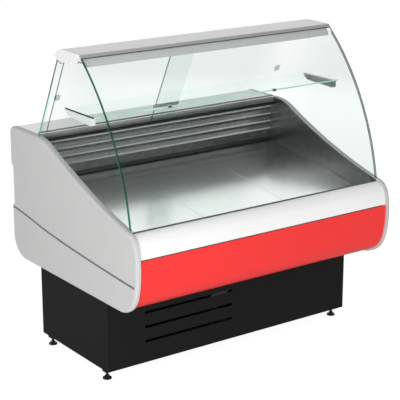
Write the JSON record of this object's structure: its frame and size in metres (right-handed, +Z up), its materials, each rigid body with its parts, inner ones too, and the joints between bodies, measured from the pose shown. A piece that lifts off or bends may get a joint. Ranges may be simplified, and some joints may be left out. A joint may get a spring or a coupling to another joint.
{
  "type": "refrigerated deli case",
  "caption": "Curved-glass refrigerated deli counter with lift-up front glass, sliding rear doors, glass shelf, sloping deck, moulded end panels and a vented plinth.",
  "frame": {"origin": "on the floor under the middle of the case", "axes": "+X along the counter, to the right as seen from the customer side; -Y customer side, +Y staff side; +Z up"},
  "size_m": [1.26, 0.956, 1.283],
  "materials": {
    "end_panel_plastic": "satin",
    "white_panel": "gloss",
    "red_panel": "satin",
    "black_plinth": "matte",
    "frame_steel": "matte",
    "galvanised": "satin",
    "stainless": "satin",
    "worktop_plastic": "satin",
    "canopy_aluminium": "satin",
    "cap_plastic": "satin",
    "glass_clear": "gloss",
    "door_glass": "gloss",
    "black_rubber": "matte",
    "track_plastic": "satin",
    "grey_plastic": "satin",
    "black_plastic": "satin",
    "insulation": "matte",
    "coil_aluminium": "satin",
    "copper": "satin",
    "compressor_black": "satin",
    "fan_plastic": "satin",
    "fan_aluminium": "satin",
    "green_switch": "gloss",
    "lamp_white": "gloss",
    "bracket_white": "satin",
    "spring_steel": "polished"
  },
  "bodies": {
    "case": {"base_frame": "frame_steel", "plinth_front_panel": "black_plinth", "plinth_left_panel": "black_plinth", "plinth_right_panel": "black_plinth", "base_tray": "frame_steel", "compressor": "compressor_black", "condenser_coil": "compressor_black", "condenser_fan_housing": "frame_steel", "refrigerant_lines": "copper", "electrical_box": "grey_plastic", "evaporation_tray": "black_plastic", "drain_pipe": "cap_plastic", "insulated_tub": "insulation", "tub_liner": "stainless", "rear_body_panel": "white_panel", "evaporator_coil": "coil_aluminium", "evaporator_fan_plate": "galvanised", "front_upper_panel": "white_panel", "front_lower_panel": "red_panel", "glass_channel": "black_rubber", "end_panel_left": "end_panel_plastic", "end_panel_right": "end_panel_plastic", "worktop": "worktop_plastic", "louvre_panel": "stainless", "control_panel": "black_plastic", "thermostat_body": "black_plastic", "side_glass_left": "glass_clear", "side_glass_right": "glass_clear", "canopy_profile": "canopy_aluminium", "canopy_cap_left": "cap_plastic", "canopy_cap_right": "cap_plastic", "canopy_lamp": "lamp_white", "upper_track": "grey_plastic", "lower_track": "track_plastic", "shelf_glass": "door_glass", "shelf_bracket_left": "bracket_white", "shelf_bracket_right": "bracket_white", "shelf_clips": "spring_steel"},
    "foot_front_left": {"foot_front_left": "black_plastic"},
    "foot_front_right": {"foot_front_right": "black_plastic"},
    "foot_rear_left": {"foot_rear_left": "black_plastic"},
    "foot_rear_right": {"foot_rear_right": "black_plastic"},
    "service_grille": {"service_grille": "black_plinth"},
    "condenser_fan": {"condenser_fan_blade": "fan_aluminium"},
    "evaporator_fan_left": {"evaporator_fan_left": "fan_plastic"},
    "evaporator_fan_right": {"evaporator_fan_right": "fan_plastic"},
    "deck_tray_left": {"deck_tray_left": "stainless"},
    "deck_tray_centre": {"deck_tray_centre": "stainless"},
    "deck_tray_right": {"deck_tray_right": "stainless"},
    "thermostat_button_up": {"thermostat_button_up": "grey_plastic"},
    "thermostat_button_down": {"thermostat_button_down": "grey_plastic"},
    "light_switch": {"light_switch": "green_switch"},
    "power_switch": {"power_switch": "black_plastic"},
    "front_glass": {"front_glass": "glass_clear", "glass_hinge_rail": "black_rubber"},
    "rear_door_left": {"rear_door_left": "door_glass", "door_pull_left": "grey_plastic"},
    "rear_door_right": {"rear_door_right": "door_glass", "door_pull_right": "grey_plastic", "door_lock_bar": "spring_steel"}
  },
  "joints": [
    {"name": "rear_door_left_slide", "type": "slide", "parent": "case", "child": "rear_door_left", "axis": [1, 0, 0], "range_m": [0, 0.5]},
    {"name": "rear_door_right_slide", "type": "slide", "parent": "case", "child": "rear_door_right", "axis": [-1, 0, 0], "range_m": [0, 0.5]},
    {"name": "front_glass_lift", "type": "hinge", "parent": "case", "child": "front_glass", "pos_m": [0, -0.079, 1.2792], "axis": [-1, 0, 0], "range_deg": [0, 55]},
    {"name": "foot_front_left_turn", "type": "hinge", "parent": "case", "child": "foot_front_left", "pos_m": [-0.583, -0.177, 0], "axis": [0, 0, 1], "continuous": true},
    {"name": "foot_front_right_turn", "type": "hinge", "parent": "case", "child": "foot_front_right", "pos_m": [0.583, -0.177, 0], "axis": [0, 0, 1], "continuous": true},
    {"name": "foot_rear_left_turn", "type": "hinge", "parent": "case", "child": "foot_rear_left", "pos_m": [-0.583, 0.252, 0], "axis": [0, 0, 1], "continuous": true},
    {"name": "foot_rear_right_turn", "type": "hinge", "parent": "case", "child": "foot_rear_right", "pos_m": [0.583, 0.252, 0], "axis": [0, 0, 1], "continuous": true},
    {"name": "service_grille_pull", "type": "slide", "parent": "case", "child": "service_grille", "axis": [0, 1, 0], "range_m": [0, 0.12]},
    {"name": "condenser_fan_spin", "type": "hinge", "parent": "case", "child": "condenser_fan", "pos_m": [-0.26, -0.105, 0.178], "axis": [0, 1, 0], "continuous": true},
    {"name": "evaporator_fan_left_spin", "type": "hinge", "parent": "case", "child": "evaporator_fan_left", "pos_m": [-0.28, 0.116, 0.54], "axis": [0, 1, 0], "continuous": true},
    {"name": "evaporator_fan_right_spin", "type": "hinge", "parent": "case", "child": "evaporator_fan_right", "pos_m": [0.28, 0.116, 0.54], "axis": [0, 1, 0], "continuous": true},
    {"name": "deck_tray_left_lift", "type": "slide", "parent": "case", "child": "deck_tray_left", "axis": [0, 0, 1], "range_m": [0, 0.045]},
    {"name": "deck_tray_centre_lift", "type": "slide", "parent": "case", "child": "deck_tray_centre", "axis": [0, 0, 1], "range_m": [0, 0.045]},
    {"name": "deck_tray_right_lift", "type": "slide", "parent": "case", "child": "deck_tray_right", "axis": [0, 0, 1], "range_m": [0, 0.045]},
    {"name": "thermostat_up_press", "type": "slide", "parent": "case", "child": "thermostat_button_up", "axis": [0, -1, 0], "range_m": [0, 0.0014], "stiffness_N_per_m": 4},
    {"name": "thermostat_down_press", "type": "slide", "parent": "case", "child": "thermostat_button_down", "axis": [0, -1, 0], "range_m": [0, 0.0014], "stiffness_N_per_m": 4},
    {"name": "light_switch_rock", "type": "hinge", "parent": "case", "child": "light_switch", "pos_m": [-0.3, 0.4516, 0.82], "axis": [1, 0, 0], "range_deg": [0, 11]},
    {"name": "power_switch_rock", "type": "hinge", "parent": "case", "child": "power_switch", "pos_m": [-0.25, 0.4516, 0.82], "axis": [1, 0, 0], "range_deg": [0, 11]}
  ]
}
